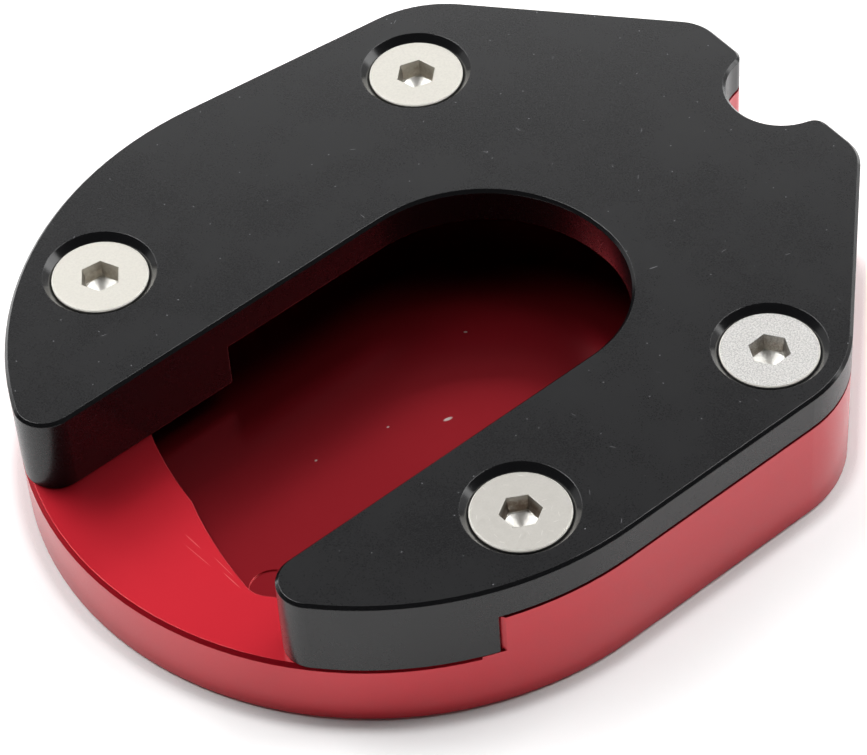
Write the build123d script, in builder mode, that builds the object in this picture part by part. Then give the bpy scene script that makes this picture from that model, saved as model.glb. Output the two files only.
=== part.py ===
from build123d import *
import os
from math import acos, atan2, degrees, hypot, radians, tan

# Kickstand foot enlarger: a base plate with a pocket for the stand's own foot, a slotted clamp plate
# that holds the foot down, and four countersunk screws. Millimetres, +Z up from the ground, +X towards
# the notched back edge. The origin is on the ground, under the middle of the outline's length.

# Outline of both plates, measured from the centre of the round front end
front_radius = 45.0
back_reach = 63.1
back_half_width = 15.5
shoulder_reach = 37.4
shoulder_half_width = 42.9
shoulder_fillet = 15.0
back_corner_fillet = 6.0
notch_radius = 7.0
notch_side = -0.25
notch_lip_fillet = 2.0

# Base plate levels and edges
base_height = 15.7
ledge_height = 9.3
pocket_floor_height = 6.5
step_reach = 14.4
edge_chamfer = 0.5
chamfer_run_out = 2.5
underside_chamfer = 0.3

# Slot of the clamp plate, turned about the round end's centre and measured along and across itself
slot_angle = 3.5
slot_left = 12.3
slot_right = 22.05
slot_end = 29.3
slot_left_fillet = 18.9
slot_right_fillet = 14.7
slot_overrun = 10.0

# Clamp plate
plate_thickness = 4.9
plate_chamfer = 0.4
prong_tip_fillet = 4.0
foot_edge_chamfer = 0.2
foot_clearance = 0.1
step_clearance = 0.15

# Pocket for the stand's foot: it runs under the clamp plate, and its front wall has a nose in it
pocket_left_overlap = 13.0
pocket_right_overlap = 4.0
pocket_end_overlap = 11.5
pocket_end_left_fillet = 20.0
pocket_end_right_fillet = 18.0
nose_reach = 29.4
nose_side = 0.6
nose_fillet = 2.0
front_left_reach = 23.95
front_left_side = 18.0
front_left_radius = 50.0
left_diagonal_reach = 12.0
front_right_reach = 32.85
front_right_side = 15.7
front_right_radius = 62.3
right_diagonal_reach = 24.5
pocket_corner_fillet = 3.4
cutter_radius = 2.9
cutter_mark_depth = 0.15

# Screws, placed from the centre of the round front end, each with its socket turned as it was tightened
front_left_screw = (-22.0, 27.6)
back_left_screw = (29.3, 31.8)
back_right_screw = (32.8, -33.6)
front_right_screw = (-5.3, -34.7)
front_left_turn = 56.0
back_left_turn = 45.0
back_right_turn = 5.5
front_right_turn = 33.0

# Screw sizes, for a 6 mm thread
thread_radius = 3.0
screw_length = 16.0
head_radius = 6.0
head_rim = 0.42
head_sink = 0.6
head_edge_chamfer = 0.15
tip_chamfer = 0.6
key_width = 4.0
key_depth = 2.4
key_flare = 0.25
key_flare_depth = 1.2
key_sides = 6
key_drill_angle = 60.0
thread_clearance = 0.05
shank_clearance = 0.3
seat_clearance = 0.03
countersink_angle = 90.0
tap_chamfer = 0.4

# Places worked out from the sizes
front_centre_x = (front_radius - back_reach) / 2
back_x = front_centre_x + back_reach
step_x = front_centre_x - step_reach
plate_top = base_height + plate_thickness
head_top = plate_top - head_sink
head_cone = (head_radius - thread_radius) / tan(radians(countersink_angle / 2))
head_seat_depth = head_sink + head_rim + seat_clearance
countersink_radius = head_radius + head_seat_depth * tan(radians(countersink_angle / 2))
socket_turns = {
    front_left_screw: front_left_turn,
    back_left_screw: back_left_turn,
    back_right_screw: back_right_turn,
    front_right_screw: front_right_turn,
}
screw_places = [(front_centre_x + along, side) for along, side in socket_turns]
slot_plane = Plane(origin=(front_centre_x, 0, 0)).rotated((0, 0, slot_angle))

# Outline: the sides leave the round front end as tangents and run to the shoulders
shoulder_distance = hypot(shoulder_reach, shoulder_half_width)
shoulder_bearing = atan2(shoulder_half_width, shoulder_reach)
tangent_angle = degrees(shoulder_bearing + acos(front_radius / shoulder_distance))
front_centre = Vector(front_centre_x, 0)
tangent_left = front_centre + Vector(front_radius, 0).rotate(Axis.Z, tangent_angle)
tangent_right = front_centre + Vector(front_radius, 0).rotate(Axis.Z, -tangent_angle)
shoulder_x = front_centre_x + shoulder_reach

with BuildSketch() as outline:
    with BuildLine():
        Polyline(
            tangent_left,
            (shoulder_x, shoulder_half_width),
            (back_x, back_half_width),
            (back_x, -back_half_width),
            (shoulder_x, -shoulder_half_width),
            tangent_right,
        )
        ThreePointArc(tangent_right, (front_centre_x - front_radius, 0), tangent_left)
    make_face()
    shoulders = outline.vertices().group_by(Axis.X)[-2]
    fillet(shoulders, shoulder_fillet)
    fillet(outline.vertices().group_by(Axis.X)[-1], back_corner_fillet)
    with Locations((back_x, notch_side)):
        Circle(notch_radius, mode=Mode.SUBTRACT)
    lips = outline.vertices().group_by(Axis.X)[-1].sort_by(lambda corner: abs(corner.Y - notch_side))[:2]
    fillet(lips, notch_lip_fillet)

# Slot: square at first, then rounded to a different radius on each side of its inner end
with BuildSketch(slot_plane) as slot:
    with BuildLine():
        Polyline(
            (-front_radius - slot_overrun, slot_left),
            (slot_end, slot_left),
            (slot_end, -slot_right),
            (-front_radius - slot_overrun, -slot_right),
            close=True,
        )
    make_face()
    fillet(slot.vertices().sort_by_distance((slot_end, slot_left))[0], slot_left_fillet)
    fillet(slot.vertices().sort_by_distance((slot_end, -slot_right))[0], slot_right_fillet)

# Pocket: the stand's foot has a bowed front edge, so the front wall is two arcs that meet in a nose
pocket_left = slot_left + pocket_left_overlap
pocket_right = slot_right + pocket_right_overlap
pocket_end = slot_end + pocket_end_overlap
front_left_corner = (-front_left_reach, front_left_side)
nose = (-nose_reach, nose_side)
front_right_corner = (-front_right_reach, -front_right_side)
right_diagonal_corner = (-right_diagonal_reach, -pocket_right)
end_right_corner = (pocket_end, -pocket_right)
end_left_corner = (pocket_end, pocket_left)
left_diagonal_corner = (-left_diagonal_reach, pocket_left)
pocket_fillets = {
    front_left_corner: pocket_corner_fillet,
    nose: nose_fillet,
    front_right_corner: pocket_corner_fillet,
    right_diagonal_corner: pocket_corner_fillet,
    end_right_corner: pocket_end_right_fillet,
    end_left_corner: pocket_end_left_fillet,
    left_diagonal_corner: pocket_corner_fillet,
}

with BuildSketch(slot_plane) as pocket:
    with BuildLine():
        RadiusArc(front_left_corner, nose, -front_left_radius)
        RadiusArc(nose, front_right_corner, -front_right_radius)
        Polyline(
            front_right_corner,
            right_diagonal_corner,
            end_right_corner,
            end_left_corner,
            left_diagonal_corner,
            front_left_corner,
        )
    make_face()
    for corner, radius in pocket_fillets.items():
        fillet(pocket.vertices().sort_by_distance(corner)[0], radius)
    corner_arcs = pocket.edges().filter_by(GeomType.CIRCLE)
    cutter_centre = corner_arcs.sort_by_distance(front_right_corner)[0].arc_center

# Clamp plate's plan, and the part of it that stands in front of the base's step
with BuildSketch() as plate_plan:
    add(outline.sketch)
    add(slot.sketch, mode=Mode.SUBTRACT)
    fillet(plate_plan.vertices().sort_by(Axis.X)[:2], prong_tip_fillet)

with BuildSketch() as feet_plan:
    add(plate_plan.sketch)
    with Locations((step_x - step_clearance, 0)):
        Rectangle(
            2 * front_radius,
            2 * front_radius,
            align=(Align.MAX, Align.CENTER),
            mode=Mode.INTERSECT,
        )

# Base plate: a block of the outline, milled down in front, with the pocket and four tapped holes
with BuildPart() as base_plate:
    with BuildSketch():
        add(outline.sketch)
    extrude(amount=base_height)
    chamfer(base_plate.faces().sort_by(Axis.Z)[-1].outer_wire().edges(), edge_chamfer)
    chamfer(base_plate.faces().sort_by(Axis.Z)[0].outer_wire().edges(), underside_chamfer)

    # front step, with the corner broken where its wall meets the outline
    with BuildSketch(Plane.XY.offset(ledge_height)):
        with Locations((step_x, 0)):
            Rectangle(2 * front_radius, 2 * front_radius, align=(Align.MAX, Align.CENTER))
    extrude(amount=base_height - ledge_height, mode=Mode.SUBTRACT)
    step_corners = base_plate.edges().filter_by(Axis.Z).filter_by_position(
        Axis.X, step_x - edge_chamfer, step_x + edge_chamfer
    )
    chamfer(step_corners, edge_chamfer)

    # ledge edge: the chamfering cutter stops short of the step wall at both ends
    step_angle = degrees(acos(-step_reach / front_radius))
    run_out_angle = degrees(chamfer_run_out / front_radius)
    chamfer_start = step_angle + run_out_angle
    start_direction = Vector(1, 0, 0).rotate(Axis.Z, chamfer_start)
    across_direction = start_direction.cross(Vector(0, 0, 1))
    with BuildSketch(Plane(origin=front_centre, x_dir=start_direction, z_dir=across_direction)):
        with BuildLine():
            Polyline(
                (front_radius - edge_chamfer, ledge_height),
                (front_radius, ledge_height),
                (front_radius, ledge_height - edge_chamfer),
                close=True,
            )
        make_face()
    chamfer_sweep = 2 * (180.0 - chamfer_start)
    revolve(axis=Axis(front_centre, (0, 0, 1)), revolution_arc=chamfer_sweep, mode=Mode.SUBTRACT)

    # pocket, and the round mark that the cutter leaves where it turns the front corner
    with BuildSketch(Plane.XY.offset(base_height)):
        add(pocket.sketch)
    extrude(amount=pocket_floor_height - base_height, mode=Mode.SUBTRACT)
    with BuildSketch(slot_plane.offset(pocket_floor_height)):
        with Locations(cutter_centre):
            Circle(cutter_radius)
    extrude(amount=-cutter_mark_depth, mode=Mode.SUBTRACT)

    with Locations(*[(x, y, base_height) for x, y in screw_places]):
        Hole(thread_radius + thread_clearance)
    underside = base_plate.faces().sort_by(Axis.Z)[0]
    chamfer(underside.inner_wires().edges(), tap_chamfer)

base_plate.part.label = "base_plate"

# Clamp plate: seats on the base, with feet that fill the step and stop just above the ledge
foot_depth = base_height - ledge_height - foot_clearance

with BuildPart() as clamp_plate:
    with BuildSketch(Plane.XY.offset(base_height)):
        add(plate_plan.sketch)
    extrude(amount=plate_thickness)
    with BuildSketch(Plane.XY.offset(base_height)):
        add(feet_plan.sketch)
    extrude(amount=-foot_depth)
    chamfer(clamp_plate.faces().sort_by(Axis.Z)[-1].outer_wire().edges(), plate_chamfer)
    foot_backs = clamp_plate.edges().filter_by(Axis.Z).filter_by_position(
        Axis.X, step_x - 2 * step_clearance, step_x
    )
    chamfer(foot_backs, foot_edge_chamfer)
    with Locations(*[(x, y, plate_top) for x, y in screw_places]):
        CounterSinkHole(
            thread_radius + shank_clearance,
            countersink_radius,
            counter_sink_angle=countersink_angle,
        )

clamp_plate.part.label = "clamp_plate"

# Screws: four separate solids, turned about their own axes, with a flared hex socket in each head
socket_radius = key_width / 2
key_flare_angle = degrees(atan2(key_flare, key_flare_depth))
drill_depth = socket_radius / tan(radians(key_drill_angle))

with BuildPart() as clamp_screws:
    for (x, y), turn in zip(screw_places, socket_turns.values()):
        head_plane = Plane(origin=(x, y, head_top))
        with BuildSketch(head_plane.rotated((90, 0, 0))):
            with BuildLine():
                Polyline(
                    (0, 0),
                    (head_radius - head_edge_chamfer, 0),
                    (head_radius, -head_edge_chamfer),
                    (head_radius, -head_rim),
                    (thread_radius, -head_rim - head_cone),
                    (thread_radius, tip_chamfer - screw_length),
                    (thread_radius - tip_chamfer, -screw_length),
                    (0, -screw_length),
                    close=True,
                )
            make_face()
        revolve(axis=Axis((x, y, 0), (0, 0, 1)))
        with BuildSketch(head_plane):
            RegularPolygon(socket_radius, key_sides, major_radius=False, rotation=turn)
        extrude(amount=-key_depth, mode=Mode.SUBTRACT)
        with BuildSketch(head_plane):
            RegularPolygon(socket_radius + key_flare, key_sides, major_radius=False, rotation=turn)
        extrude(amount=-key_flare_depth, taper=key_flare_angle, mode=Mode.SUBTRACT)
        with BuildSketch(head_plane.offset(-key_depth).rotated((90, 0, 0))):
            with BuildLine():
                Polyline((0, 0), (socket_radius, 0), (0, -drill_depth), close=True)
            make_face()
        revolve(axis=Axis((x, y, 0), (0, 0, 1)), mode=Mode.SUBTRACT)

clamp_screws.part.label = "clamp_screws"

os.makedirs("parts", exist_ok=True)
for piece in (base_plate, clamp_plate, clamp_screws):
    export_step(piece.part, f"parts/{piece.part.label}.step")
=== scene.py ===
import logging
import math
from dataclasses import dataclass, field
from enum import Enum

import bpy
from mathutils import Matrix, Vector


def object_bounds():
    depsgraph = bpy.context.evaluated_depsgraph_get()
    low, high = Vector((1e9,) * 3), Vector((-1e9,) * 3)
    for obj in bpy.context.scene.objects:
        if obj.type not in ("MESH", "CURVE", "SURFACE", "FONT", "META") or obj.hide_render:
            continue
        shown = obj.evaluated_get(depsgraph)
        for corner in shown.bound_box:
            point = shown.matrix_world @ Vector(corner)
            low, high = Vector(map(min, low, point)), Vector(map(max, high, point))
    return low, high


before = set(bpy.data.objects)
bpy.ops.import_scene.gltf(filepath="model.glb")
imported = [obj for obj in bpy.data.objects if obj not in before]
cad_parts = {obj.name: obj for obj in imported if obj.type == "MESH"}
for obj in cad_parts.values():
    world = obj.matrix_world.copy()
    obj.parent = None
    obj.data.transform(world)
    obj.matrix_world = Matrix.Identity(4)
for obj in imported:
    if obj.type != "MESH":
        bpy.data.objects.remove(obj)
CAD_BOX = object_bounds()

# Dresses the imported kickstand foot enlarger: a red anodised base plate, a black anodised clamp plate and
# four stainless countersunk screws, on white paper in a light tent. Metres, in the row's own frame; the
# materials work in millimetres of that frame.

LOG = logging.getLogger("foot_enlarger")
MM = 0.001
IMAGE_WIDTH = 867  # of the photograph, in pixels
SENSOR_WIDTH = 36.0  # of the camera, in millimetres
WAVE_TURN = math.tau / 20  # scale at which the wave texture repeats once per unit
ANY_HEIGHT = 1e6  # reach of a mark in height, so that it is found at every height
CLOUD_DETAIL = 2.0  # number of finer layers in a cloudy pattern
FINE_DETAIL = 3.0  # the same in a crisper one
CLOUD_CRISPNESS = 0.6  # weight of each finer layer
EDGE_RAYS = 4  # rays that find a sharp edge or a narrow gap

# Node types and steps of arithmetic that the materials use most
MATH = "ShaderNodeMath"
VECTOR = "ShaderNodeVectorMath"
RANGE = "ShaderNodeMapRange"
ADD = {"operation": "ADD"}
MULTIPLY = {"operation": "MULTIPLY"}
MAXIMUM = {"operation": "MAXIMUM"}
LENGTH = {"operation": "LENGTH"}

Colour = tuple[float, float, float, float]
Place = tuple[float, float, float]
Spot = tuple[float, float]
Tree = bpy.types.NodeTree
Node = bpy.types.Node
Socket = bpy.types.NodeSocket
Source = bpy.types.Node | bpy.types.NodeSocket
Settings = dict[str | int, object]


class CadNode(Enum):
    """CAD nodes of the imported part."""

    BASE = "base_plate"
    CLAMP = "clamp_plate"
    SCREWS = "clamp_screws"


def linear(code: str) -> Colour:
    """Turns an sRGB hex colour into linear light.

    Args:
        code: Six hex digits with a leading hash.

    Returns:
        Linear red, green, blue and an alpha of 1.
    """
    parts = [int(code[i : i + 2], 16) / 255 for i in (1, 3, 5)]
    light = [p / 12.92 if p <= 0.04045 else ((p + 0.055) / 1.055) ** 2.4 for p in parts]
    return (light[0], light[1], light[2], 1.0)


def add_node(
    tree: Tree, kind: str, settings: Settings | None = None, links: dict[str | int, Source] | None = None
) -> Node:
    """Adds one node to a tree, with its settings and the links into it.

    Args:
        tree: The node tree.
        kind: Blender's name of the node type.
        settings: Property names to values, and socket names or numbers to default values.
        links: Socket names or numbers to what feeds them: an output, or a node for its first active output.

    Returns:
        The new node.
    """
    node = tree.nodes.new(kind)
    for name, value in (settings or {}).items():
        if isinstance(name, str) and name not in node.inputs:
            setattr(node, name, value)
    for name, value in (settings or {}).items():
        if isinstance(name, int) or name in node.inputs:
            node.inputs[name].default_value = value
    for name, source in (links or {}).items():
        if isinstance(source, Node):
            source = next(output for output in source.outputs if output.enabled)
        tree.links.new(source, node.inputs[name])
    return node


@dataclass(frozen=True)
class Fade:
    """A smooth change of one value over another.

    Attributes:
        start: Where the change starts.
        end: Where it ends.
        low: Result at the start.
        high: Result at the end.
    """

    start: float = 0.0
    end: float = 1.0
    low: float = 0.0
    high: float = 1.0

    def settings(self) -> Settings:
        """Gives the settings with which a range node makes the change."""
        limits = {"From Min": self.start, "From Max": self.end, "To Min": self.low, "To Max": self.high}
        return {"interpolation_type": "SMOOTHSTEP", **limits}


@dataclass(frozen=True)
class Mark:
    """A nick or scratch seen from above, in millimetres.

    Attributes:
        x: Place along the part.
        y: Place across the part.
        length: Its length.
        width: Its width.
        turn: Its direction in degrees from the part's length.
    """

    x: float
    y: float
    length: float
    width: float
    turn: float = 0.0


@dataclass(frozen=True)
class Scatter:
    """Short marks strewn over the level faces, in millimetres.

    Attributes:
        spacing: Distance between the cells that may hold a mark.
        length: A mark's length.
        width: A mark's width.
        share: Share of the cells that hold one.
    """

    spacing: float
    length: float
    width: float
    share: float


@dataclass
class Surface:
    """A material under construction: its node tree and the values that every finish starts from.

    Attributes:
        name: The material's name.
        edge_mm: Radius to which the light rounds sharp edges.
        level: Facing of the level faces, where 1 is straight up.
        slope_foot: Facing at which a wall becomes a slope.
        slope_head: Facing at which a slope becomes a level face.
        edge_turn: How far the rounded direction leaves the true one at a sharp edge, as a cosine.
        mark_edge: Outline of a nick or scratch, as a share of its size.
        speck_edge: Outline of a strewn mark, as a share of its size.
    """

    name: str
    edge_mm: float
    level: Fade = Fade(0.9, 0.95)
    slope_foot: Fade = Fade(0.4, 0.5)
    slope_head: Fade = Fade(0.92, 0.85)
    edge_turn: Fade = Fade(0.97, 0.85)
    mark_edge: Fade = Fade(1.15, 0.6)
    speck_edge: Fade = Fade(1.1, 0.6)

    def __post_init__(self) -> None:
        """Starts the tree with the surface point, its direction and its softened edges."""
        self.material = bpy.data.materials.new(self.name)
        self.material.use_nodes = True
        self.tree = self.material.node_tree
        self.tree.nodes.clear()
        coords = add_node(self.tree, "ShaderNodeTexCoord").outputs
        metres = coords["Object"]
        self.point = add_node(self.tree, VECTOR, {"operation": "SCALE", "Scale": 1 / MM}, {0: metres})
        self.height = add_node(self.tree, "ShaderNodeSeparateXYZ", {}, {0: self.point}).outputs["Z"]
        self.facing = add_node(self.tree, "ShaderNodeSeparateXYZ", {}, {0: coords["Normal"]}).outputs["Z"]
        rounding = {"samples": EDGE_RAYS, "Radius": self.edge_mm * MM}
        self.normal = add_node(self.tree, "ShaderNodeBevel", rounding)

    def clouds(self, size_mm: float, detail: float = CLOUD_DETAIL) -> Socket:
        """Gives a cloudy pattern.

        Args:
            size_mm: Size of one cloud.
            detail: Number of finer layers.

        Returns:
            A value from 0 to 1.
        """
        settings = {"Scale": 1 / size_mm, "Detail": detail, "Roughness": CLOUD_CRISPNESS}
        return add_node(self.tree, "ShaderNodeTexNoise", settings, {"Vector": self.point}).outputs["Fac"]

    def upward(self) -> Node:
        """Gives a mask of the level faces that look up."""
        return add_node(self.tree, RANGE, self.level.settings(), {"Value": self.facing})

    def sloped(self) -> Node:
        """Gives a mask of chamfers and countersinks, the faces that slope upwards.

        Returns:
            A value that is 1 on such a face and 0 off it.
        """
        foot = add_node(self.tree, RANGE, self.slope_foot.settings(), {"Value": self.facing})
        head = add_node(self.tree, RANGE, self.slope_head.settings(), {"Value": self.facing})
        return add_node(self.tree, MATH, MULTIPLY, {0: foot, 1: head})

    def band(self, bottom_mm: float, top_mm: float, blur_mm: float) -> Node:
        """Gives a mask of a band of heights.

        Args:
            bottom_mm: Where it starts.
            top_mm: Where it ends.
            blur_mm: Half of the height over which its edges fade.

        Returns:
            A value that is 1 in the band and 0 off it.
        """
        start = Fade(bottom_mm - blur_mm, bottom_mm + blur_mm)
        end = Fade(top_mm + blur_mm, top_mm - blur_mm)
        above = add_node(self.tree, RANGE, start.settings(), {"Value": self.height})
        below = add_node(self.tree, RANGE, end.settings(), {"Value": self.height})
        return add_node(self.tree, MATH, MULTIPLY, {0: above, 1: below})

    def worn_edges(self) -> Node:
        """Gives a mask of the sharp edges, where the softened direction leaves the true one.

        Returns:
            A value that is 1 on an edge and 0 off it.
        """
        true = add_node(self.tree, "ShaderNodeNewGeometry").outputs["Normal"]
        turn = add_node(self.tree, VECTOR, {"operation": "DOT_PRODUCT"}, {0: self.normal, 1: true})
        return add_node(self.tree, RANGE, self.edge_turn.settings(), {"Value": turn})

    def any_of(self, masks: list[Source]) -> Source:
        """Joins masks into one.

        Args:
            masks: The masks.

        Returns:
            The highest of them at each place.
        """
        total = masks[0]
        for mask in masks[1:]:
            total = add_node(self.tree, MATH, MAXIMUM, {0: total, 1: mask})
        return total

    def marks(self, marks: tuple[Mark, ...]) -> Source:
        """Masks nicks and scratches at known places.

        Args:
            marks: The marks.

        Returns:
            A value that is 1 on a mark and 0 off it.
        """
        found = []
        for mark in marks:
            settings = {
                "vector_type": "TEXTURE",
                "Location": (mark.x, mark.y, 0.0),
                "Rotation": (0.0, 0.0, math.radians(mark.turn)),
                "Scale": (mark.length / 2, mark.width / 2, ANY_HEIGHT),
            }
            moved = add_node(self.tree, "ShaderNodeMapping", settings, {"Vector": self.point})
            reach = add_node(self.tree, VECTOR, LENGTH, {0: moved})
            found.append(add_node(self.tree, RANGE, self.mark_edge.settings(), {"Value": reach}))
        return self.any_of(found)

    def scatter(self, specks: Scatter) -> Node:
        """Masks short marks strewn over the upward faces, each turned its own way.

        Args:
            specks: The marks' sizes and how many there are.

        Returns:
            A value that is 1 on a mark and 0 off it.
        """
        settings = {"voronoi_dimensions": "2D", "Scale": 1 / specks.spacing}
        cells = add_node(self.tree, "ShaderNodeTexVoronoi", settings, {"Vector": self.point}).outputs
        draw = add_node(self.tree, "ShaderNodeSeparateColor", {}, {"Color": cells["Color"]}).outputs
        offset = add_node(self.tree, VECTOR, {"operation": "SUBTRACT"}, {0: self.point, 1: cells["Position"]})
        angle = add_node(self.tree, MATH, {**MULTIPLY, 1: math.pi}, {0: draw["Green"]})
        turning = {"Vector": offset, "Angle": angle}
        turned = add_node(self.tree, "ShaderNodeVectorRotate", {"rotation_type": "Z_AXIS"}, turning)
        size = (2 / specks.length, 2 / specks.width, 0.0)
        sized = add_node(self.tree, VECTOR, {**MULTIPLY, 1: size}, {0: turned})
        reach = add_node(self.tree, VECTOR, LENGTH, {0: sized})
        inside = add_node(self.tree, RANGE, self.speck_edge.settings(), {"Value": reach})
        chance = Fade(1.0 - specks.share, 1.0 - specks.share / 2)
        chosen = add_node(self.tree, RANGE, chance.settings(), {"Value": draw["Red"]})
        strewn = add_node(self.tree, MATH, MULTIPLY, {0: inside, 1: chosen})
        return add_node(self.tree, MATH, MULTIPLY, {0: strewn, 1: self.upward()})

    def nearness(self, places: tuple[Spot, ...], radius: float) -> Source:
        """Masks the surroundings of some upright axes.

        Args:
            places: The axes, in millimetres.
            radius: Radius of each mask, in millimetres.

        Returns:
            A value that is 1 near an axis and 0 elsewhere.
        """
        found = []
        for x, y in places:
            offset = add_node(self.tree, VECTOR, {"operation": "SUBTRACT", 1: (x, y, 0.0)}, {0: self.point})
            flat = add_node(self.tree, VECTOR, {**MULTIPLY, 1: (1.0, 1.0, 0.0)}, {0: offset})
            reach = add_node(self.tree, VECTOR, LENGTH, {0: flat})
            found.append(add_node(self.tree, MATH, {"operation": "LESS_THAN", 1: radius}, {0: reach}))
        return self.any_of(found)

    def thread(self, pitch_mm: float) -> Socket:
        """Gives rings at a screw thread's pitch.

        Args:
            pitch_mm: The thread's pitch.

        Returns:
            A height from 0 to 1.
        """
        settings = {"wave_type": "BANDS", "bands_direction": "Z", "Scale": WAVE_TURN / pitch_mm}
        return add_node(self.tree, "ShaderNodeTexWave", settings, {"Vector": self.point}).outputs["Fac"]

    def press(self, height: Source, depth_mm: float, strength: Source) -> None:
        """Presses a relief into the surface.

        Args:
            height: Height from 0 to 1.
            depth_mm: Depth of the relief.
            strength: How much of it shows.
        """
        links = {"Height": height, "Strength": strength, "Normal": self.normal}
        self.normal = add_node(self.tree, "ShaderNodeBump", {"Distance": depth_mm * MM}, links)

    def paint(self, base: str, layers: list[tuple[Source, str]]) -> Node:
        """Lays colours one over the other.

        Args:
            base: The lowest colour, an sRGB hex code.
            layers: A mask and an sRGB hex code for each colour over it, from the bottom up.

        Returns:
            The mixed colour.
        """
        under = {}
        for mask, code in layers:
            settings = {"data_type": "RGBA", 6: linear(base), 7: linear(code)}
            colour = add_node(self.tree, "ShaderNodeMix", settings, {0: mask, **under})
            under = {6: colour}
        return colour

    def finish(self, settings: Settings, links: dict[str, Source]) -> bpy.types.Material:
        """Closes the material with its surface shader.

        Args:
            settings: Values that are the same all over.
            links: Values that vary.

        Returns:
            The material.
        """
        shader = add_node(self.tree, "ShaderNodeBsdfPrincipled", settings, {"Normal": self.normal, **links})
        add_node(self.tree, "ShaderNodeOutputMaterial", {}, {"Surface": shader})
        return self.material


@dataclass(frozen=True)
class RedAnodised:
    """Red anodised aluminium, milled and bead blasted.

    The dye colours the metal's own broad, soft reflection. The clear oxide over it adds a sharper white one
    that takes over at a glancing view, so the sides look paler than the ledge. The pocket floor keeps its
    smoother milled face, so it mirrors the black plate above it and falls off to near black. Chamfers are
    deeper red, and a painted shade darkens the band under the clamp plate, where shade falls between plates.

    Attributes:
        name: The material's name.
        dye: Colour of the dyed metal.
        dye_deep: The same where the dye is a little deeper.
        dye_mm: Size of the clouds in the dye.
        chamfer: Colour of the chamfers, cut finer, which take the dye deeper.
        joint_shade: Painted shade: a dark colour laid in the groove under the clamp plate, where shade falls.
        joint_mm: Heights between which that groove lies.
        joint_blur_mm: Half of the height over which its edges fade.
        worn: Colour along worn edges and in a scratch.
        wear_mm: Size of the patches in which the edges are worn.
        wear: How far the edges are worn over such a patch.
        scratch_share: How far a scratch lightens the dye.
        bare: Colour of bare metal in a nick.
        blasted: Roughness of the blasted faces.
        milled: Roughness of the pocket floor.
        mottle: Change of the blasted roughness over the grain.
        oxide: Weight of the clear oxide.
        oxide_ior: Its refractive index.
        chamfer_loss: Share of the oxide that the chamfers lack.
        blasted_coat: Roughness of the clear oxide on the blasted faces.
        milled_coat: Roughness of the clear oxide on the pocket floor.
        grain_mm: Size of the blasted grain, about twice the real 0.1 mm so that it shows.
        grain_depth_mm: Depth of the grain.
        grain_share: How much of that depth shows.
        pass_mm: Distance between the cutter's passes on the pocket floor.
        pass_depth_mm: Depth of the passes.
        pass_share: How much of that depth shows.
        pass_wander: How far the passes leave straight lines.
        pocket_top_mm: Height below which an upward face is the pocket floor.
        pocket_blur_mm: Height over which that changes.
        edge_mm: Radius of the broken edges.
        pitch_mm: Pitch of the tapped holes.
        thread_mm: Depth of their thread.
        hole_mm: Radius round a screw that holds its tapped hole.
    """

    name: str = "anodised_aluminium_red_blasted"
    dye: str = "#b8232f"
    dye_deep: str = "#b01f2b"
    dye_mm: float = 14.0
    chamfer: str = "#aa1624"
    joint_shade: str = "#560a12"
    joint_mm: Spot = (15.2, 15.8)
    joint_blur_mm: float = 0.05
    worn: str = "#dc7a78"
    wear_mm: float = 2.5
    wear: Fade = Fade(0.4, 0.65, 0.05, 0.3)
    scratch_share: float = 0.35
    bare: str = "#f0dcd8"
    blasted: float = 0.50
    milled: float = 0.28
    mottle: Fade = Fade(0.2, 0.8, -0.02, 0.02)
    oxide: float = 0.7
    oxide_ior: float = 1.5
    chamfer_loss: float = 0.6
    blasted_coat: float = 0.17
    milled_coat: float = 0.16
    grain_mm: float = 0.22
    grain_depth_mm: float = 0.02
    grain_share: float = 0.16
    pass_mm: float = 0.6
    pass_depth_mm: float = 0.004
    pass_share: float = 0.05
    pass_wander: float = 0.4
    pocket_top_mm: float = 8.0
    pocket_blur_mm: float = 0.2
    edge_mm: float = 0.12
    pitch_mm: float = 1.0
    thread_mm: float = 0.3
    hole_mm: float = 3.3

    def material(
        self, nicks: tuple[Mark, ...], scratches: tuple[Mark, ...], holes: tuple[Spot, ...]
    ) -> bpy.types.Material:
        """Builds the material.

        Args:
            nicks: Nicks that show bare metal.
            scratches: Fine scratches that only lighten the dye.
            holes: Axes of the tapped holes.

        Returns:
            The material.
        """
        surface = Surface(self.name, self.edge_mm)
        tree = surface.tree
        softened = surface.normal

        # Where the finish changes
        upward = surface.upward()
        deep = Fade(self.pocket_top_mm + self.pocket_blur_mm, self.pocket_top_mm)
        low = add_node(tree, RANGE, deep.settings(), {"Value": surface.height})
        pocket = add_node(tree, MATH, MULTIPLY, {0: upward, 1: low})
        sloped = surface.sloped()
        # the band of heights under the clamp plate that is painted dark, a painted shade
        groove_shade = surface.band(*self.joint_mm, self.joint_blur_mm)
        grain = surface.clouds(self.grain_mm)
        nick = add_node(tree, MATH, MULTIPLY, {0: surface.marks(nicks), 1: upward})
        scratch = add_node(tree, MATH, MULTIPLY, {0: surface.marks(scratches), 1: upward})
        faint = add_node(tree, MATH, {**MULTIPLY, 1: self.scratch_share}, {0: scratch})
        patches = add_node(tree, RANGE, self.wear.settings(), {"Value": surface.clouds(self.wear_mm)})
        edges = add_node(tree, MATH, MULTIPLY, {0: surface.worn_edges(), 1: patches})

        layers = [
            (surface.clouds(self.dye_mm, FINE_DETAIL), self.dye),
            (sloped, self.chamfer),
            (edges, self.worn),
            # painted shade: the band under the clamp plate is painted dark where shade falls between the
            # plates
            (groove_shade, self.joint_shade),
            (faint, self.worn),
            (nick, self.bare),
        ]
        colour = surface.paint(self.dye_deep, layers)

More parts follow.
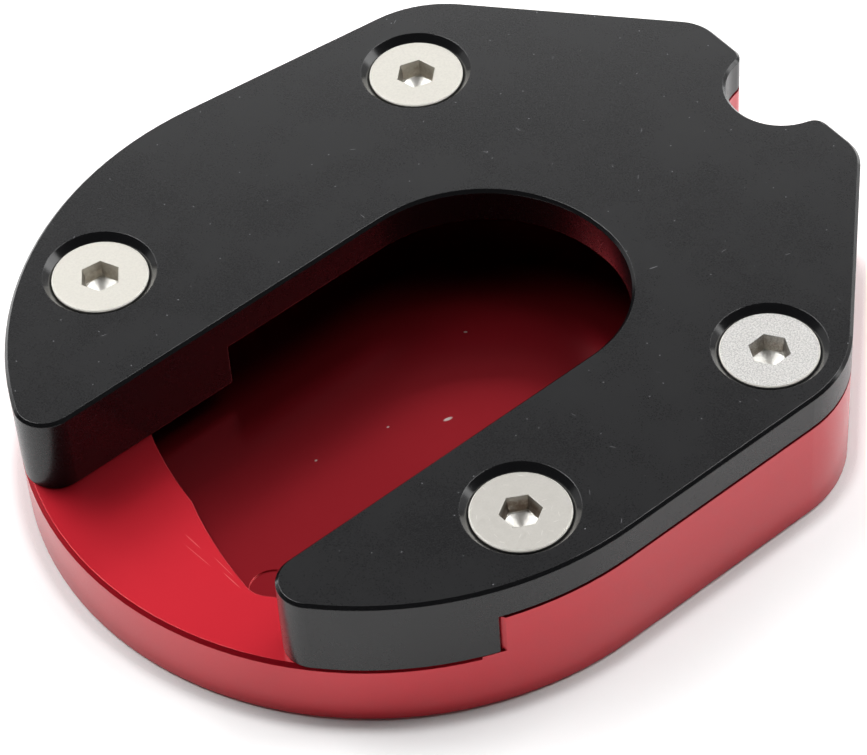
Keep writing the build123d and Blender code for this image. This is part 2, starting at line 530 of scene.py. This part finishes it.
        # Roughness, with the grain on the blasted faces alone
        step = add_node(tree, RANGE, Fade(low=self.blasted, high=self.milled).settings(), {"Value": pocket})
        speckle = add_node(tree, RANGE, self.mottle.settings(), {"Value": grain})
        blast = add_node(tree, RANGE, Fade(low=1.0, high=0.0).settings(), {"Value": pocket})
        mottle = add_node(tree, MATH, MULTIPLY, {0: speckle, 1: blast})
        rough = add_node(tree, MATH, ADD, {0: step, 1: mottle})

        # Relief: the cutter's passes, the blasted grain and the tapped threads
        waves = {"wave_type": "BANDS", "bands_direction": "X", "Scale": WAVE_TURN / self.pass_mm}
        waves["Distortion"] = self.pass_wander
        passes = add_node(tree, "ShaderNodeTexWave", waves, {"Vector": surface.point})
        cut = add_node(tree, MATH, {**MULTIPLY, 1: self.pass_share}, {0: pocket})
        surface.press(passes.outputs["Fac"], self.pass_depth_mm, cut)
        rest = add_node(tree, RANGE, Fade(low=self.grain_share, high=0.0).settings(), {"Value": pocket})
        surface.press(grain, self.grain_depth_mm, rest)
        surface.press(surface.thread(self.pitch_mm), self.thread_mm, surface.nearness(holes, self.hole_mm))

        # Clear oxide, thinner on the chamfers and gone in the nicks and in the painted shade under the clamp
        # plate
        thin = add_node(tree, MATH, {**MULTIPLY, 1: self.chamfer_loss}, {0: sloped})
        lost = surface.any_of([thin, nick, groove_shade])
        coat = add_node(tree, RANGE, Fade(low=self.oxide, high=0.0).settings(), {"Value": lost})
        sheen = Fade(low=self.blasted_coat, high=self.milled_coat)
        gloss = add_node(tree, RANGE, sheen.settings(), {"Value": pocket})
        return surface.finish(
            {"Metallic": 1.0, "Coat IOR": self.oxide_ior},
            {
                "Base Color": colour,
                "Roughness": rough,
                "Coat Weight": coat,
                "Coat Roughness": gloss,
                "Coat Normal": softened,
            },
        )


@dataclass(frozen=True)
class BlackAnodised:
    """Black anodised aluminium, milled and satin.

    The dye lets almost no light back out of the metal, so the eye sees the oxide's own faint reflection of
    the room. Chamfers and countersinks are cut last and smoother, so they show the lamps as bright bands.
    Dust and small scratches stand out pale.

    Attributes:
        name: The material's name.
        dye: Colour of the dyed metal.
        scuffed: Colour of a scratch or a speck.
        scuff_share: How far such a mark covers the dye.
        dust: Specks of dust, in millimetres.
        lines: Small scratches, in millimetres.
        satin: Roughness of the flat faces.
        cut: Roughness of chamfers and countersinks.
        cloud_mm: Size of the clouds in the satin.
        clouding: Change of roughness over such a cloud.
        mottle: Change of roughness over the grain.
        top_gloss: Strength of the oxide's reflection on the flat top.
        wall_gloss: The same on the walls, which the cutter's side leaves duller.
        cut_gloss: The same on chamfers and countersinks.
        wall_facing: Facing at which a wall ends and the top's gloss starts, where 1 is straight up.
        grain_mm: Size of the satin grain, about twice the real 0.1 mm so that it shows.
        grain_depth_mm: Depth of the grain.
        grain_share: How much of that depth shows.
        cut_grain_share: The same on chamfers and countersinks.
        edge_mm: Radius of the broken edges.
    """

    name: str = "anodised_aluminium_black_satin"
    dye: str = "#0f0f11"
    scuffed: str = "#8c8c90"
    scuff_share: float = 0.7
    dust: Scatter = Scatter(2.6, 0.22, 0.16, 0.16)
    lines: Scatter = Scatter(6.0, 0.9, 0.07, 0.2)
    satin: float = 0.28
    cut: float = 0.16
    cloud_mm: float = 12.0
    clouding: Fade = Fade(0.3, 0.7, -0.015, 0.015)
    mottle: Fade = Fade(0.2, 0.8, -0.02, 0.03)
    top_gloss: float = 0.43
    wall_gloss: float = 0.36
    cut_gloss: float = 0.8
    wall_facing: Spot = (0.1, 0.5)
    grain_mm: float = 0.22
    grain_depth_mm: float = 0.02
    grain_share: float = 0.05
    cut_grain_share: float = 0.01
    edge_mm: float = 0.10

    def material(self, scratches: tuple[Mark, ...]) -> bpy.types.Material:
        """Builds the material.

        Args:
            scratches: Scratches at known places.

        Returns:
            The material.
        """
        surface = Surface(self.name, self.edge_mm)
        tree = surface.tree
        sloped = surface.sloped()
        grain = surface.clouds(self.grain_mm)

        scratch = add_node(tree, MATH, MULTIPLY, {0: surface.marks(scratches), 1: surface.upward()})
        scuffs = surface.any_of([surface.scatter(self.dust), surface.scatter(self.lines), scratch])
        faint = add_node(tree, MATH, {**MULTIPLY, 1: self.scuff_share}, {0: scuffs})
        colour = surface.paint(self.dye, [(faint, self.scuffed)])

        step = add_node(tree, RANGE, Fade(low=self.satin, high=self.cut).settings(), {"Value": sloped})
        clouds = surface.clouds(self.cloud_mm, FINE_DETAIL)
        drift = add_node(tree, RANGE, self.clouding.settings(), {"Value": clouds})
        cloudy = add_node(tree, MATH, ADD, {0: step, 1: drift})
        speckle = add_node(tree, RANGE, self.mottle.settings(), {"Value": grain})
        rough = add_node(tree, MATH, ADD, {0: cloudy, 1: speckle})

        relief = Fade(low=self.grain_share, high=self.cut_grain_share)
        shown = add_node(tree, RANGE, relief.settings(), {"Value": sloped})
        surface.press(grain, self.grain_depth_mm, shown)

        flat = Fade(*self.wall_facing, self.wall_gloss, self.top_gloss)
        even = add_node(tree, RANGE, flat.settings(), {"Value": surface.facing})
        extra = add_node(tree, MATH, {**MULTIPLY, 1: self.cut_gloss - self.top_gloss}, {0: sloped})
        gloss = add_node(tree, MATH, ADD, {0: even, 1: extra})
        return surface.finish(
            {"Metallic": 0.0}, {"Base Color": colour, "Roughness": rough, "Specular IOR Level": gloss}
        )


@dataclass(frozen=True)
class Stainless:
    """Stainless steel, cold headed and tumbled.

    Tumbling leaves a pale, even grain on the flat heads. A painted highlight makes each head's rim and the
    drilled end of each socket pale. One head is blasted and sparkles, and another is worn by a tool. Dirt
    darkens the sockets, and rust the worn one.

    Attributes:
        name: The material's name.
        steel: Colour of the clean steel.
        dull: Colour of a blasted head.
        worn: Colour of a head worn by a tool.
        scratch_and_highlight: Colour of a scratch, and the painted highlight on a head's rim and a socket's
            drilled end.
        pitted: Colour of pits.
        grime: Colour deep in a socket.
        rust: Colour deep in the worn head's socket.
        tumbled: Roughness of the heads.
        mottle: Change of roughness over the grain.
        pitting: How far the grain is pitted.
        fleck_mm: Size of the pits in a blasted head.
        flecks: Outline of those pits.
        fleck_share: How far they cover the steel.
        lines: Scratches of the tool, in millimetres.
        line_share: How far they cover the steel.
        dirt_mm: Depths below the top of the head between which the dirt thickens.
        dirt_share: How far it covers the steel there.
        dirt_patch_mm: Size of its patches.
        dirt_patches: How far it covers the steel over such a patch.
        dirt_walls: Facing of the socket's walls, where 1 is straight up.
        drilled_mm: Depths between which the drilled end of a socket, painted as a highlight, starts.
        rim_mm: Depths between which a head's rim, painted as a highlight, ends.
        rim_rough: Extra roughness of the rim.
        grain_mm: Size of the grain, about three times the real 0.1 mm so that it shows.
        grain_depth_mm: Depth of the grain.
        grain_share: How much of that depth shows.
        blasted_share: The same on a blasted head.
        edge_mm: Radius of the broken edges.
        head_top_mm: Height of the heads.
        head_mm: Radius round a screw that holds its head.
        pitch_mm: The thread's pitch.
        thread_mm: The thread's depth.
        neck_mm: Heights between which the shank becomes threaded.
    """

    name: str = "stainless_steel_tumbled"
    steel: str = "#ccc9c1"
    dull: str = "#cac8c5"
    worn: str = "#bab7b1"
    scratch_and_highlight: str = "#f2f0ea"
    pitted: str = "#8e8e8e"
    grime: str = "#8a7f72"
    rust: str = "#5e4636"
    tumbled: float = 0.46
    mottle: Fade = Fade(0.25, 0.75, -0.06, 0.06)
    pitting: Fade = Fade(0.35, 0.7, 0.0, 0.1)
    fleck_mm: float = 0.2
    flecks: Fade = Fade(0.46, 0.56)
    fleck_share: float = 0.55
    lines: Scatter = Scatter(1.1, 0.9, 0.05, 0.35)
    line_share: float = 0.6
    dirt_mm: Spot = (0.2, 1.0)
    dirt_share: float = 0.7
    dirt_patch_mm: float = 0.8
    dirt_patches: Fade = Fade(0.25, 0.7, 0.3, 1.0)
    dirt_walls: Fade = Fade(0.4, 0.2)
    drilled_mm: Spot = (2.2, 2.4)
    rim_mm: Spot = (0.5, 0.4)
    rim_rough: float = 0.3
    grain_mm: float = 0.30
    grain_depth_mm: float = 0.06
    grain_share: float = 0.06
    blasted_share: float = 0.9
    edge_mm: float = 0.14
    head_top_mm: float = 20.0
    head_mm: float = 8.0
    pitch_mm: float = 1.0
    thread_mm: float = 0.3
    neck_mm: Spot = (15.5, 15.3)

    def below_head(self, depths_mm: Spot, high: float = 1.0) -> Fade:
        """Gives a change between two depths below the top of the heads.

        Args:
            depths_mm: Depths at which it starts and ends.
            high: Result at the end.

        Returns:
            The change, over height.
        """
        start, end = depths_mm
        return Fade(self.head_top_mm - start, self.head_top_mm - end, 0.0, high)

    def material(self, blasted: tuple[Spot, ...], tooled: tuple[Spot, ...]) -> bpy.types.Material:
        """Builds the material.

        Args:
            blasted: Axes of the screws with a sparkling head.
            tooled: Axes of the screws with a head worn by a tool.

        Returns:
            The material.
        """
        surface = Surface(self.name, self.edge_mm)
        tree = surface.tree
        height = {"Value": surface.height}
        grain = surface.clouds(self.grain_mm, FINE_DETAIL)
        sparkle = surface.nearness(blasted, self.head_mm)
        scuffed = surface.nearness(tooled, self.head_mm)

        # Dirt on the sockets' walls, and rust in the worn one
        depth = add_node(tree, RANGE, self.below_head(self.dirt_mm, self.dirt_share).settings(), height)
        walls = add_node(tree, RANGE, self.dirt_walls.settings(), {"Value": surface.facing})
        socket = add_node(tree, MATH, MULTIPLY, {0: depth, 1: walls})
        clots = surface.clouds(self.dirt_patch_mm, FINE_DETAIL)
        patches = add_node(tree, RANGE, self.dirt_patches.settings(), {"Value": clots})
        dirt = add_node(tree, MATH, MULTIPLY, {0: socket, 1: patches})
        rusty = add_node(tree, MATH, MULTIPLY, {0: dirt, 1: scuffed})

        # Pits, tool marks, and painted highlights on the drilled ends and the rims
        pits = add_node(tree, RANGE, self.pitting.settings(), {"Value": grain})
        grit = surface.clouds(self.fleck_mm, FINE_DETAIL)
        spots = add_node(tree, RANGE, self.flecks.settings(), {"Value": grit})
        flecks = add_node(tree, MATH, MULTIPLY, {0: spots, 1: sparkle})
        fleck = add_node(tree, MATH, {**MULTIPLY, 1: self.fleck_share}, {0: flecks})
        lines = add_node(tree, MATH, MULTIPLY, {0: surface.scatter(self.lines), 1: scuffed})
        line = add_node(tree, MATH, {**MULTIPLY, 1: self.line_share}, {0: lines})
        drilled_highlight = add_node(tree, RANGE, self.below_head(self.drilled_mm).settings(), height)
        top = add_node(tree, RANGE, self.below_head(self.rim_mm).settings(), height)
        rim_highlight = add_node(tree, MATH, MULTIPLY, {0: surface.sloped(), 1: top})

        layers = [
            (sparkle, self.dull),
            (scuffed, self.worn),
            (pits, self.pitted),
            (line, self.scratch_and_highlight),
            (fleck, self.pitted),
            (dirt, self.grime),
            (rusty, self.rust),
            # painted highlight: the drilled ends and the rims are painted pale, in place of the light that
            # they catch
            (drilled_highlight, self.scratch_and_highlight),
            (rim_highlight, self.scratch_and_highlight),
        ]
        colour = surface.paint(self.steel, layers)

        speckle = add_node(tree, RANGE, self.mottle.settings(), {"Value": grain})
        even = add_node(tree, MATH, {**ADD, 1: self.tumbled}, {0: speckle})
        coarse = add_node(tree, MATH, {**MULTIPLY, 1: self.rim_rough}, {0: rim_highlight})
        rough = add_node(tree, MATH, ADD, {0: coarse, 1: even})

        relief = Fade(low=self.grain_share, high=self.blasted_share)
        shown = add_node(tree, RANGE, relief.settings(), {"Value": sparkle})
        surface.press(grain, self.grain_depth_mm, shown)
        shank = add_node(tree, RANGE, Fade(*self.neck_mm).settings(), height)
        surface.press(surface.thread(self.pitch_mm), self.thread_mm, shank)
        return surface.finish({"Metallic": 1.0}, {"Base Color": colour, "Roughness": rough})


@dataclass(frozen=True)
class WhitePaper:
    """White paper, matt.

    It takes the part's shadow. A little glow, seen by the camera and by the metal alike, keeps it white, and
    dies out in the narrow gap where the part meets it.

    Attributes:
        name: The material's name.
        colour: The paper's colour.
        glow: Strength of the glow, where 1 is white.
        contact: Width of the contact shadow, in metres.
        open_sky: Share of open air above the paper over which the glow sets in.
    """

    name: str = "paper_white_matt"
    colour: str = "#f4f4f4"
    glow: float = 0.34
    contact: float = 0.0025
    open_sky: Spot = (0.76, 1.0)

    def material(self) -> bpy.types.Material:
        """Builds the material.

        Returns:
            The material.
        """
        material = bpy.data.materials.new(self.name)
        material.use_nodes = True
        tree = material.node_tree
        tree.nodes.clear()
        paper = add_node(tree, "ShaderNodeBsdfDiffuse", {"Color": linear(self.colour)})
        ray = add_node(tree, "ShaderNodeLightPath").outputs
        seen = ray["Is Camera Ray"]
        for other in ("Is Glossy Ray", "Is Transmission Ray"):
            seen = add_node(tree, MATH, MAXIMUM, {0: seen, 1: ray[other]})
        gap = {"samples": EDGE_RAYS, "Distance": self.contact}
        air = add_node(tree, "ShaderNodeAmbientOcclusion", gap).outputs["AO"]
        free = add_node(tree, RANGE, Fade(*self.open_sky, 0.0, self.glow).settings(), {"Value": air})
        strength = add_node(tree, MATH, MULTIPLY, {0: seen, 1: free})
        shine = add_node(tree, "ShaderNodeEmission", {}, {"Strength": strength})
        both = add_node(tree, "ShaderNodeAddShader", {}, {0: paper, 1: shine})
        add_node(tree, "ShaderNodeOutputMaterial", {}, {"Surface": both})
        return material


def dress(node: CadNode, material: bpy.types.Material) -> bpy.types.Object:
    """Gives a CAD node its material.

    Args:
        node: The node.
        material: The material.

    Returns:
        The node's object.
    """
    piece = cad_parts[node.value]
    piece.data.materials.clear()
    piece.data.materials.append(material)
    LOG.info("%s dressed in %s", node.value, material.name)
    return piece


@dataclass
class ClampScrews:
    """Four countersunk socket screws: the CAD solids, in tumbled steel.

    Attributes:
        front_left: Axis of the screw in the left prong, in millimetres.
        back_left: Axis of the screw behind it.
        back_right: Axis of the screw at the back right, whose head is blasted.
        front_right: Axis of the screw in the right prong, whose head is worn by a tool.
        finish: Their finish.
    """

    front_left: Spot = (-31.05, 27.6)
    back_left: Spot = (20.25, 31.8)
    back_right: Spot = (23.75, -33.6)
    front_right: Spot = (-14.35, -34.7)
    finish: Stainless = field(default_factory=Stainless)

    def axes(self) -> tuple[Spot, ...]:
        """Gives every screw's axis."""
        return (self.front_left, self.back_left, self.back_right, self.front_right)

    def build(self) -> None:
        """Dresses the screws, each head worn as in the photograph."""
        dress(CadNode.SCREWS, self.finish.material(blasted=(self.back_right,), tooled=(self.front_right,)))


@dataclass
class BasePlate:
    """Milled base plate: the CAD solid, in red.

    Attributes:
        screws: The screws that it is tapped for.
        nicks: Nicks in the pocket floor.
        scratches: Fine scratches on the ledge.
        finish: Its finish.
    """

    screws: ClampScrews
    nicks: tuple[Mark, ...] = (
        Mark(-5.55, -8.14, 1.3, 0.5, -10.8),
        Mark(-11.99, -4.52, 0.4, 0.3),
        Mark(-21.95, -3.33, 0.4, 0.3),
        Mark(4.88, 2.08, 0.5, 0.3, -39.6),
    )
    scratches: tuple[Mark, ...] = (
        Mark(-41.83, -6.52, 3.2, 0.14, -86.3),
        Mark(-41.63, -14.32, 3.4, 0.14, -86.3),
        Mark(-42.6, -8.6, 5.0, 0.10, -84.0),
        Mark(-41.2, -12.0, 4.0, 0.10, -88.0),
    )
    finish: RedAnodised = field(default_factory=RedAnodised)

    def build(self) -> None:
        """Dresses the plate."""
        dress(CadNode.BASE, self.finish.material(self.nicks, self.scratches, self.screws.axes()))


@dataclass
class ClampPlate:
    """Slotted clamp plate: the CAD solid, in black.

    Attributes:
        scratches: Scratches on its top.
        finish: Its finish.
    """

    scratches: tuple[Mark, ...] = (Mark(21.37, -14.85, 1.2, 0.12, -14.7),)
    finish: BlackAnodised = field(default_factory=BlackAnodised)

    def build(self) -> None:
        """Dresses the plate."""
        dress(CadNode.CLAMP, self.finish.material(self.scratches))


@dataclass(frozen=True)
class Softbox:
    """A soft lamp as the part sees it: angles in degrees, level relative to white.

    Attributes:
        name: The lamp's name.
        azimuth: Its bearing from the part's length.
        elevation: Its height angle.
        half_width: Half of the angle that it fills sideways.
        half_height: Half of the angle that it fills upwards.
        level: Brightness of its front.
        distance: Its distance, in metres.
    """

    name: str
    azimuth: float
    elevation: float
    half_width: float
    half_height: float
    level: float
    distance: float = 2.5


@dataclass
class Studio:
    """Light tent, softboxes, paper floor and the camera.

    Attributes:
        azimuth: Camera's bearing from the part's right side, in degrees.
        elevation: Camera's height angle, in degrees.
        roll: Camera's tilt about its own line of sight, in degrees.
        distance: Camera's distance from its target, in metres.
        target: The point that it looks at, in metres.
        focal_px: Focal length in pixels of the photograph's width.
        clip: Nearest and farthest distance that the camera sees, in metres.
        floor_side: Side of the floor, in metres.
        floor_drop: Gap below the part, in metres.
        cloth_level: Brightness of the tent's cloth.
        room_level: Brightness of the dim opening and of the tent's top.
        cloth_sides: Where the cloth starts, from the camera's side towards the back, as a cosine.
        cloth_foot: Height below which the cloth goes all round, as a sine.
        cloth_rim: Height at which the cloth ends, as a sine.
        paper: The floor's finish.
        softboxes: The lamps.
    """

    azimuth: float = -33.62
    elevation: float = 47.49
    roll: float = -4.383
    distance: float = 0.42395
    target: Place = (-0.009964, -0.012286, 0.0206)
    focal_px: float = 3595.18
    clip: Spot = (0.01, 50.0)
    floor_side: float = 12.0
    floor_drop: float = 0.00005
    cloth_level: float = 0.5
    room_level: float = 0.05
    cloth_sides: Fade = Fade(-0.15, -0.40)
    cloth_foot: Fade = Fade(0.20, 0.12)
    cloth_rim: Fade = Fade(0.74, 0.63)
    paper: WhitePaper = field(default_factory=WhitePaper)
    softboxes: tuple[Softbox, ...] = (
        Softbox("softbox_left_back", 110.0, 44.0, 16.0, 17.0, 4.9),
        Softbox("softbox_right_back", -2.0, 29.0, 27.0, 13.0, 2.5),
        Softbox("softbox_back", 56.0, 32.0, 16.0, 5.0, 4.3),
        Softbox("softbox_back_right", 32.0, 28.0, 10.0, 7.0, 1.4),
        Softbox("softbox_fill_left", 124.0, 61.0, 14.0, 12.0, 4.7),
        Softbox("softbox_fill_right", -10.0, 58.0, 15.0, 12.0, 6.4),
    )

    def towards_camera(self) -> Vector:
        """Gives the direction from the target to the camera.

        Returns:
            A vector of length 1.
        """
        bearing, rise = math.radians(self.azimuth), math.radians(self.elevation)
        plan = math.cos(rise)
        return Vector((math.sin(bearing) * plan, -math.cos(bearing) * plan, math.sin(rise)))

    def build_camera(self) -> bpy.types.Object:
        """Places the camera where the photograph was taken from.

        Returns:
            The camera.
        """
        data = bpy.data.cameras.new("photo_camera")
        data.sensor_width = SENSOR_WIDTH
        data.lens = self.focal_px * SENSOR_WIDTH / IMAGE_WIDTH
        data.clip_start, data.clip_end = self.clip
        camera = bpy.data.objects.new("photo_camera", data)
        bpy.context.scene.collection.objects.link(camera)
        bearing, roll = math.radians(self.azimuth), math.radians(self.roll)
        back = self.towards_camera()
        side = Vector((math.cos(bearing), math.sin(bearing), 0.0))
        up = back.cross(side)
        right = side * math.cos(roll) + up * math.sin(roll)
        top = up * math.cos(roll) - side * math.sin(roll)
        turn = Matrix((right, top, back)).transposed().to_4x4()
        camera.matrix_world = Matrix.Translation(Vector(self.target) + back * self.distance) @ turn
        bpy.context.scene.camera = camera
        LOG.info("camera placed")
        return camera

    def build_floor(self) -> bpy.types.Object:
        """Lays the paper floor under the part.

        Returns:
            The floor.
        """
        half = self.floor_side / 2
        mesh = bpy.data.meshes.new("floor")
        corners = [(-half, -half, 0), (half, -half, 0), (half, half, 0), (-half, half, 0)]
        mesh.from_pydata(corners, [], [(0, 1, 2, 3)])
        floor = bpy.data.objects.new("floor", mesh)
        floor.location.z = CAD_BOX[0].z - self.floor_drop
        floor.data.materials.append(self.paper.material())
        bpy.context.scene.collection.objects.link(floor)
        LOG.info("floor laid")
        return floor

    def build_tent(self) -> bpy.types.World:
        """Makes the light tent: white cloth round the back and sides, dim above and towards the camera.

        Returns:
            The world.
        """
        world = bpy.data.worlds.new("light_tent")
        world.use_nodes = True
        tree = world.node_tree
        tree.nodes.clear()
        way = add_node(tree, "ShaderNodeTexCoord").outputs["Generated"]
        plan = self.towards_camera()
        plan.z = 0.0
        facing = add_node(tree, VECTOR, {"operation": "DOT_PRODUCT", 1: plan.normalized()}, {0: way})
        height = add_node(tree, "ShaderNodeSeparateXYZ", {}, {"Vector": way}).outputs["Z"]
        sides = add_node(tree, RANGE, self.cloth_sides.settings(), {"Value": facing})
        foot = add_node(tree, RANGE, self.cloth_foot.settings(), {"Value": height})
        rim_highlight = add_node(tree, RANGE, self.cloth_rim.settings(), {"Value": height})
        cloth = add_node(tree, MATH, MAXIMUM, {0: sides, 1: foot})
        lit = add_node(tree, MATH, MULTIPLY, {0: cloth, 1: rim_highlight})
        glow = Fade(low=self.room_level, high=self.cloth_level)
        level = add_node(tree, RANGE, glow.settings(), {"Value": lit})
        light = add_node(tree, "ShaderNodeBackground", {}, {"Strength": level})
        add_node(tree, "ShaderNodeOutputWorld", {}, {"Surface": light})
        bpy.context.scene.world = world
        LOG.info("light tent raised")
        return world

    def hang_softbox(self, box: Softbox) -> bpy.types.Object:
        """Hangs a softbox that points at the part.

        Args:
            box: The softbox.

        Returns:
            The lamp.
        """
        bearing, rise = math.radians(box.azimuth), math.radians(box.elevation)
        plan = math.cos(rise)
        way = Vector((math.cos(bearing) * plan, math.sin(bearing) * plan, math.sin(rise)))
        data = bpy.data.lights.new(box.name, "AREA")
        data.shape = "RECTANGLE"
        data.size = 2 * box.distance * math.tan(math.radians(box.half_width))
        data.size_y = 2 * box.distance * math.tan(math.radians(box.half_height))
        data.energy = math.pi * data.size * data.size_y * box.level
        lamp = bpy.data.objects.new(box.name, data)
        lamp.location = Vector(self.target) + way * box.distance
        lamp.rotation_mode = "QUATERNION"
        lamp.rotation_quaternion = (-way).to_track_quat("-Z", "Y")
        bpy.context.scene.collection.objects.link(lamp)
        LOG.info("%s hung", box.name)
        return lamp

    def build(self) -> None:
        """Sets up the camera, the floor and the light."""
        self.build_camera()
        self.build_floor()
        self.build_tent()
        for box in self.softboxes:
            self.hang_softbox(box)
        bpy.context.scene.view_settings.view_transform = "Standard"


def main() -> None:
    """Builds the studio and dresses every piece in order."""
    logging.basicConfig(level=logging.INFO, format="%(name)s: %(message)s")
    Studio().build()
    screws = ClampScrews()
    BasePlate(screws).build()
    ClampPlate().build()
    screws.build()


if __name__ == "__main__":
    main()
